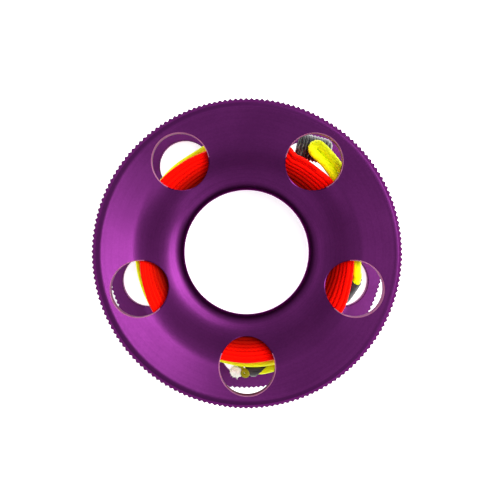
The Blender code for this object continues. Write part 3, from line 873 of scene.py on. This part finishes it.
def makeSideStrands(name, fromRear, seed):
    # a flat spiral of line down one side of the pack
    radius = winding["line"] / 2
    count = winding["sideTurns"] * winding["perTurn"]
    path = []
    for index in range(count + 1):
        turn = index / winding["perTurn"]
        angle = 2 * math.pi * turn
        reach = spool["pack"] - radius - turn * winding["sidePitch"]
        depth = webDepth(reach) + spool["clearance"] + radius
        depth += abs(wander(angle, turn, seed + 5)) * 1.6
        reach += wander(angle, turn, seed) * 1.3
        if not fromRear:
            reach += bulge(angle, winding["edgeDepth"]) * max(0.0, 1 - turn / 4)
        height = depth if fromRear else heightAt(depth)
        path.append(outward(angle) * reach + Vector((0, 0, height)))
    strands = sweepTube(name, path, radius, winding["sides"], squeeze=winding["flatten"])
    dress(strands, "line", "guide_line", smooth=60)


makePackBody()
makeOuterTurns()
makeSideStrands("frontStrands", False, 20.0)
makeSideStrands("rearStrands", True, 40.0)
print("stage: line wound")


# the leader: its route as the CAD has it, a little closer in the loop
leader = {
    "diameter": 0.0025,
    "halfStrands": 0.00130,
    "sides": 16,
    "spacing": 0.0006,
    "neckAngle": math.radians(340.7),
    "neckLift": 0.0011,
    "neckDepth": 0.0150,
    "neckPitch": math.radians(30),
    "neckLean": math.radians(11),
    "neckLength": 0.0078,
    "tailAngle": math.radians(274.1),
    "tailLift": 0.0053,
    "tailDepth": 0.0225,
    "tailLength": 0.0045,
    "tailStub": 0.0011,
    "bightAngle": math.radians(415.9),
    "bightLift": 0.0051,
    "bightHalf": 0.00145,
    "bightDepth": 0.012,
    "bightLean": math.radians(12),
    "swell": 0.14,
    "swellReach": 0.030,
    "swellFade": 0.014,
    # degrees round, lift off the pack and depth from the front, between the knot and
    # the neck, out to the bight, back from it, and on to the tail
    "roundPack": [
        (115, 0.00175, 0.0320), (135, 0.00155, 0.0290), (160, 0.00155, 0.0265),
        (185, 0.00140, 0.0250), (210, 0.00140, 0.0248), (235, 0.00155, 0.0250),
        (252, 0.00200, 0.0236), (268, 0.00240, 0.0205), (283, 0.00240, 0.0183),
        (300, 0.00200, 0.0166), (319, 0.00190, 0.0160)],
    "loopOut": [
        (352, 0.00080, 0.0106), (360, 0.00070, 0.0106), (370, 0.00160, 0.0106),
        (385, 0.00370, 0.0110), (398, 0.00500, 0.0115), (408, 0.00590, 0.0119)],
    "loopBack": [
        (408, 0.00315, 0.0121), (398, 0.00225, 0.0124), (385, 0.00160, 0.0132),
        (370, 0.00115, 0.0138), (360, 0.00080, 0.0138), (352, 0.00080, 0.0138)],
    "toTail": [(318, 0.00310, 0.0200), (305, 0.00420, 0.0216), (293, 0.00510, 0.0223)],
}


def neckFrame():
    centre = spoolPoint(leader["neckAngle"], leader["neckLift"], leader["neckDepth"])
    onward = alongTurn(leader["neckAngle"] - leader["neckLean"])
    line = onward * math.cos(leader["neckPitch"])
    line.z = math.sin(leader["neckPitch"])
    stack = Vector((0, 0, 1)) - line * line.z
    return centre, line, stack.normalized()


def tailFrame():
    centre = spoolPoint(leader["tailAngle"], leader["tailLift"], leader["tailDepth"])
    return centre, alongTurn(leader["tailAngle"])


def bightCentre():
    return outward(leader["bightAngle"]) * (spool["pack"] + leader["bightLift"])


def straightRun(middle, line, half):
    return [middle - line * half, middle, middle + line * half]


def polarRoute(part):
    return [spoolPoint(math.radians(degrees), lift, depth)
            for degrees, lift, depth in leader[part]]


def leaderRoute():
    knotFace = knotCentre + alongTurn(knot["angle"]) * (knot["length"] / 2 - knot["overlap"])
    route = [knotFace, knotFace + alongTurn(knot["angle"]) * leader["diameter"]]
    route += polarRoute("roundPack")
    centre, line, stack = neckFrame()
    half = leader["neckLength"] / 2 + leader["diameter"] * 0.15
    offset = stack * leader["halfStrands"]
    route += straightRun(centre + offset, line, half)
    route += polarRoute("loopOut")
    bight = bightCentre()
    bight.z = heightAt(leader["bightDepth"])
    lean = Matrix.Rotation(-leader["bightLean"], 3, "Z")
    onward, across = lean @ alongTurn(leader["bightAngle"]), lean @ outward(leader["bightAngle"])
    for turn in steps(0, math.pi, 6):
        route.append(bight + across * leader["bightHalf"] * math.cos(turn)
                     + onward * leader["bightHalf"] * math.sin(turn))
    route += polarRoute("loopBack")
    route += reversed(straightRun(centre - offset, line, half))
    route += polarRoute("toTail")
    tail, tailLine = tailFrame()
    route += reversed(straightRun(tail, tailLine, leader["tailLength"] / 2 + leader["tailStub"]))
    return route


def smoothRoute(route, spacing):
    points = [route[0]]
    for index in range(len(route) - 1):
        before, start = route[max(0, index - 1)], route[index]
        end, after = route[index + 1], route[min(len(route) - 1, index + 2)]
        chord = (end - start).length
        startPull = (end - before).normalized() * chord
        endPull = (after - start).normalized() * chord
        for share in steps(0, 1, max(1, round(chord / spacing)))[1:]:
            rest = 1 - share
            points.append(start * (1 + 2 * share) * rest ** 2 + startPull * share * rest ** 2
                          + end * eased(share) - endPull * share ** 2 * rest)
    return points


def loopSwell(place):
    # the cord is fuller where no load pulls it thin, in the loop
    near = (Vector((place.x, place.y, 0)) - bightCentre()).length
    share = clamped((leader["swellReach"] - near) / leader["swellFade"])
    return 1 + leader["swell"] * eased(share)


def makeLeader():
    path = smoothRoute(leaderRoute(), leader["spacing"])
    cord = sweepTube("leaderCord", path, leader["diameter"] / 2, leader["sides"], ends=0.9,
                     swells=[loopSwell(place) for place in path])
    dress(cord, "cord", "leader_yellow", "leader_cord", smooth=60)
    length = sum((second - first).length for first, second in zip(path, path[1:]))
    print("leader length in mm:", round(length * 1000, 1))
    return path


leaderPath = makeLeader()
print("stage: leader laid")


# shrink sleeves, pressed to the strands inside them
sleeve = {
    "wall": 0.0006,
    "skin": 0.00045,
    "sides": 40,
    "rings": 9,
    "waist": 0.93,
    # beyond this share of the length from the middle, drawn in to these shares
    "mouths": [(0.36, (0.975, 0.97)), (0.47, (0.975, 0.96))],
    "crimp": 0.035,
    "crimpSize": (500, 900),
    "edge": 0.0001,
}


def makeSleeve(name, centre, line, stack, length, spread, slants, node):
    deselect()
    bpy.ops.mesh.primitive_cylinder_add(vertices=sleeve["sides"], end_fill_type="NOTHING",
                                        radius=leader["diameter"] / 2 + sleeve["wall"],
                                        depth=length)
    piece = bpy.context.object
    piece.name = name
    editAll()
    bpy.ops.mesh.subdivide(number_cuts=sleeve["rings"], quadcorner="STRAIGHT_CUT")
    for way in (1, -1):
        editSelected(piece, lambda co: co.x * way > 0.00002)
        bpy.ops.transform.translate(value=(spread * way, 0, 0))
    # a soft waist between the strands, and mouths that are drawn in
    editSelected(piece, lambda co: abs(co.x) < spread * 1.02)
    bpy.ops.transform.resize(value=(1, sleeve["waist"], 1), center_override=(0, 0, 0))
    for way in (1, -1):
        for share, size in sleeve["mouths"]:
            editSelected(piece, lambda co: co.z * way > length * share)
            bpy.ops.transform.resize(value=(*size, 1), center_override=(0, 0, 0))
    bpy.ops.object.mode_set(mode="OBJECT")
    fine, long = sleeve["crimpSize"]
    for vert in piece.data.vertices:
        crease = noise.noise(Vector((vert.co.x * fine, vert.co.y * fine, vert.co.z * long)))
        vert.co.x *= 1 + crease * sleeve["crimp"]
        vert.co.y *= 1 + crease * sleeve["crimp"]
        vert.co.z -= vert.co.x * slants[vert.co.z > 0] * (vert.co.z / length)
    applyModifier(piece, "SOLIDIFY", thickness=sleeve["skin"], offset=-1)
    applyModifier(piece, "BEVEL", width=sleeve["edge"], segments=2, limit_method="ANGLE",
                  angle_limit=math.radians(50))
    side = line.cross(stack)
    turn = Matrix((stack, side, line)).transposed().to_4x4()
    if turn.determinant() < 0:
        turn = Matrix((stack, -side, line)).transposed().to_4x4()
    piece.matrix_world = Matrix.Translation(centre) @ turn
    dress(piece, "sleeve", "shrink_black", node, smooth=45)


neckCentre, neckLine, neckStack = neckFrame()
makeSleeve("neckSleeve", neckCentre, neckLine, neckStack, leader["neckLength"],
           leader["halfStrands"], (0.0, 0.0), "neck_sleeve")
tailCentre, tailLine = tailFrame()
makeSleeve("tailSleeve", tailCentre, tailLine, outward(leader["tailAngle"]),
           leader["tailLength"], 0.00005, (1.0, 2.3), "tail_sleeve")
print("stage: sleeves shrunk on")


# the knot: line wrapped round the leader's start
def makeKnot():
    axis, out = alongTurn(knot["angle"]), outward(knot["angle"])
    up = axis.cross(out)
    lineRadius = winding["line"] / 2
    path = []
    for share in steps(0, 1, knot["wraps"] * knot["perWrap"]):
        turn = 2 * math.pi * knot["wraps"] * share
        along = (share - 0.5) * (knot["length"] - winding["line"])
        full = knot["endShare"] + (1 - knot["endShare"]) * math.sin(math.pi * share) ** 0.5
        reach = (knot["radius"] - lineRadius) * full
        path.append(knotCentre + axis * along + out * reach * math.cos(turn)
                    + up * reach * math.sin(turn))
    wrap = sweepTube("knotWraps", path, lineRadius, 10)
    start = knotCentre - axis * (knot["length"] / 2 + knot["heartStart"])
    heart = sweepTube("knotHeart", [start + axis * step * knot["length"] * knot["heartShare"]
                                    for step in steps(0, 1, 6)], lineRadius * 1.5, 12)
    joinInto(wrap, [heart])
    wrap.name = "leaderKnot"
    dress(wrap, "line", "guide_line", "leader_knot", smooth=60)


makeKnot()
print("stage: knot tied")


# the ribbed toggle behind the loop
toggle = {
    "radius": 0.0041,
    "length": 0.0108,
    "ribs": 10,
    "ribShares": (0.0, 0.1, 0.22, 0.36, 0.5, 0.64, 0.78, 0.9),
    "ribDepth": 0.00035,
    "sides": 72,
    "bore": 0.0009,
    "dome": 0.0024,
    "domeShare": 0.55,
    "angle": math.radians(57),
    "lift": 0.0050,
    "tilt": math.radians(-14),
}


def makeToggle():
    start = -toggle["length"] / 2
    domeStart = toggle["length"] / 2 - toggle["dome"]
    pitch = toggle["length"] / toggle["ribs"]
    points = [(toggle["bore"], start)]
    for rib in range(toggle["ribs"]):
        for share in toggle["ribShares"]:
            along = start + (rib + share) * pitch
            into = max(0, along - domeStart) / toggle["dome"]
            full = toggle["radius"] * math.sqrt(1 - toggle["domeShare"] * into ** 2)
            crown = math.sin(math.pi * clamped((share - 0.05) / 0.9)) ** 0.6
            points.append((full - toggle["ribDepth"] * (1 - crown), along))
    endRadius = toggle["radius"] * math.sqrt(1 - toggle["domeShare"]) - toggle["ribDepth"]
    points += [(endRadius, toggle["length"] / 2), (toggle["bore"], toggle["length"] / 2)]
    piece = spinSection("ribbedToggle", points, toggle["sides"])
    depth = (leader["bightDepth"] + leader["diameter"] / 2 + spool["clearance"]
             + toggle["radius"])
    centre = outward(toggle["angle"]) * (spool["pack"] + toggle["lift"])
    centre.z = heightAt(depth)
    turn = Vector((0, 0, 1)).rotation_difference(outward(toggle["tilt"]))
    piece.matrix_world = Matrix.Translation(centre) @ turn.to_matrix().to_4x4()
    dress(piece, "toggle", "toggle_black", "ribbed_toggle", smooth=50)


makeToggle()
print("stage: toggle")


# the frayed core at the leader's cut end
tuft = {
    "radius": 0.0024,
    "lengthShare": 1.1,
    # how far along the cord and back towards the axis its middle lies
    "onward": 0.9,
    "inward": 0.0003,
    # lumps of the ball: plain size, then height and number of each kind of lump
    "plain": 0.80,
    "lumps": [(0.16, 2.3), (0.10, 6.0)],
    "fibres": 170,
    "fibreRadius": 0.00006,
    "curl": 0.0005,
    "seed": 7,
    # cut ends of the sheath: along the cord, away from the axis, up, size
    "sheathEnds": [(-0.0001, 0.0004, 0.0016, 0.00095), (0.0011, -0.0012, 0.0012, 0.0007)],
    "sheathThickness": 0.66,
    "sheathTurn": (0.3, -0.5, 0),
}


def makeTuft():
    rng = random.Random(tuft["seed"])
    end = leaderPath[-1]
    line = (leaderPath[-1] - leaderPath[-2]).normalized()
    length = tuft["radius"] * tuft["lengthShare"]
    centre = (end + line * (length * tuft["onward"])
              - outward(leader["tailAngle"]) * tuft["inward"])
    deselect()
    bpy.ops.mesh.primitive_ico_sphere_add(subdivisions=4, radius=1)
    ball = bpy.context.object
    ball.name = "coreTuft"
    side = line.orthogonal().normalized()
    up = line.cross(side)
    for vert in ball.data.vertices:
        unit = vert.co.copy()
        lump = tuft["plain"] + sum(height * noise.noise(unit * number)
                                   for height, number in tuft["lumps"])
        vert.co = centre + (line * unit.x * length + side * unit.y * tuft["radius"]
                            + up * unit.z * tuft["radius"]) * lump
    strands = []
    for number in range(tuft["fibres"]):
        aim = Vector((rng.gauss(0.35, 0.6), rng.gauss(0, 0.7), rng.gauss(0, 0.7))).normalized()
        way = line * aim.x + side * aim.y + up * aim.z
        curl = Vector([rng.uniform(-1, 1) for _ in range(3)]) * tuft["curl"]
        start = centre + way * tuft["radius"] * rng.uniform(0.35, 0.6)
        reach = tuft["radius"] * rng.uniform(0.22, 0.45)
        path = [start + way * reach * share + curl * share ** 2 for share in steps(0, 1, 4)]
        strands.append(sweepTube("fibre", path, tuft["fibreRadius"], 4, ends=0.5))
    joinInto(ball, strands)
    dress(ball, "core", "core_cream", "core_tuft", smooth=60)


def makeSheathEnds():
    # the yellow sheath's cut ends, curled open beside the core, in a darker yellow that is
    # painted shade
    end, line = leaderPath[-1], (leaderPath[-1] - leaderPath[-2]).normalized()
    out = outward(leader["tailAngle"])
    for index, (along, aside, up, size) in enumerate(tuft["sheathEnds"]):
        deselect()
        bpy.ops.mesh.primitive_torus_add(
            major_radius=size, minor_radius=size * tuft["sheathThickness"],
            major_segments=28, minor_segments=12, rotation=tuft["sheathTurn"],
            location=end + line * along + out * aside + Vector((0, 0, up)))
        dress(bpy.context.object, "sheath", "leader_yellow", smooth=60)
        bpy.context.object.name = "sheathEnd%d" % index


makeTuft()
makeSheathEnds()
print("stage: tuft frayed")


# floor, background and soft studio light
studio = {
    "floorSize": 12,
    "floorColour": (0.86, 0.86, 0.86),
    "floorRoughness": 0.9,
    "floorSpecular": 0.1,
    # how white the floor shows near the spool, and the radii where that turns to full white
    "shownWhite": 0.8,
    "whiteFade": (0.15, 0.45),
    "lampSide": 0.36,
    "lampDistance": 0.8,
    "lamps": [
        # name, degrees round from the right, degrees up, power in watts
        ("keyRight", 0, 54, 3.4),
        ("keyUpperRight", 45, 54, 2.1),
        ("keyLow", 20, 42, 2.2),
        ("highLeft", 180, 66, 0.45),
        ("fillLowerRight", 315, 30, 0.65),
        ("fillLowerLeft", 225, 24, 0.25),
    ],
    # soft lamps for the cords alone: a high one, and strips level with the gap
    "cordKey": (50, 77, 6.0),
    "stripSize": (0.30, 0.03),
    "stripDistance": 0.36,
    "strips": [(20, 0.45), (340, 0.4), (275, 0.25), (200, 0.45), (135, 0.5)],
}


def showsBackdrop(tree):
    # one for rays that look, reflect or pass through to the background
    path = tree.nodes.new("ShaderNodeLightPath").outputs
    both = mathNode(tree, "MAXIMUM", path["Is Camera Ray"], path["Is Glossy Ray"])
    return mathNode(tree, "MAXIMUM", both, path["Is Transmission Ray"])


def makeLamp(name, place, way, size, power, onMetal=True):
    bpy.ops.object.light_add(type="AREA", location=place)
    lamp = bpy.context.object
    lamp.name = name
    lamp.data.shape = "RECTANGLE"
    lamp.data.size, lamp.data.size_y = size
    lamp.data.energy = power
    lamp.visible_glossy = onMetal
    lamp.rotation_mode = "QUATERNION"
    lamp.rotation_quaternion = (-way).to_track_quat("-Z", "Y")


def makeStudio():
    deselect()
    bpy.ops.mesh.primitive_plane_add(size=studio["floorSize"])
    floor = bpy.context.object
    floor.name = "floor"
    pale = bpy.data.materials.new("paleFloor")
    pale.use_nodes = True
    tree = pale.node_tree
    white = radiusMask(tree, *studio["whiteFade"], studio["shownWhite"], 1.0)
    fill(tree, tree.nodes["Principled BSDF"],
         {"Base Color": studio["floorColour"], "Roughness": studio["floorRoughness"],
          "Specular IOR Level": studio["floorSpecular"], "Emission Color": (1, 1, 1),
          "Emission Strength": times(tree, showsBackdrop(tree), white)})
    floor.data.materials.append(pale)
    world = bpy.data.worlds.new("paleRoom")
    bpy.context.scene.world = world
    world.use_nodes = True
    tree = world.node_tree
    fill(tree, tree.nodes["Background"],
         {"Color": (1, 1, 1), "Strength": showsBackdrop(tree)})
    aim, side = Vector((0, 0, spool["width"])), studio["lampSide"]
    for name, azimuth, elevation, power in studio["lamps"] + [("cordKey", *studio["cordKey"])]:
        bearing, rise = math.radians(azimuth), math.radians(elevation)
        way = outward(bearing) * math.cos(rise) + Vector((0, 0, math.sin(rise)))
        makeLamp(name, aim + way * studio["lampDistance"], way, (side, side), power,
                 onMetal=name != "cordKey")
    for index, (azimuth, power) in enumerate(studio["strips"]):
        way = outward(math.radians(azimuth))
        place = Vector((0, 0, spool["width"] / 2)) + way * studio["stripDistance"]
        makeLamp("strip%d" % index, place, way, studio["stripSize"], power, onMetal=False)


makeStudio()
print("stage: studio lit")
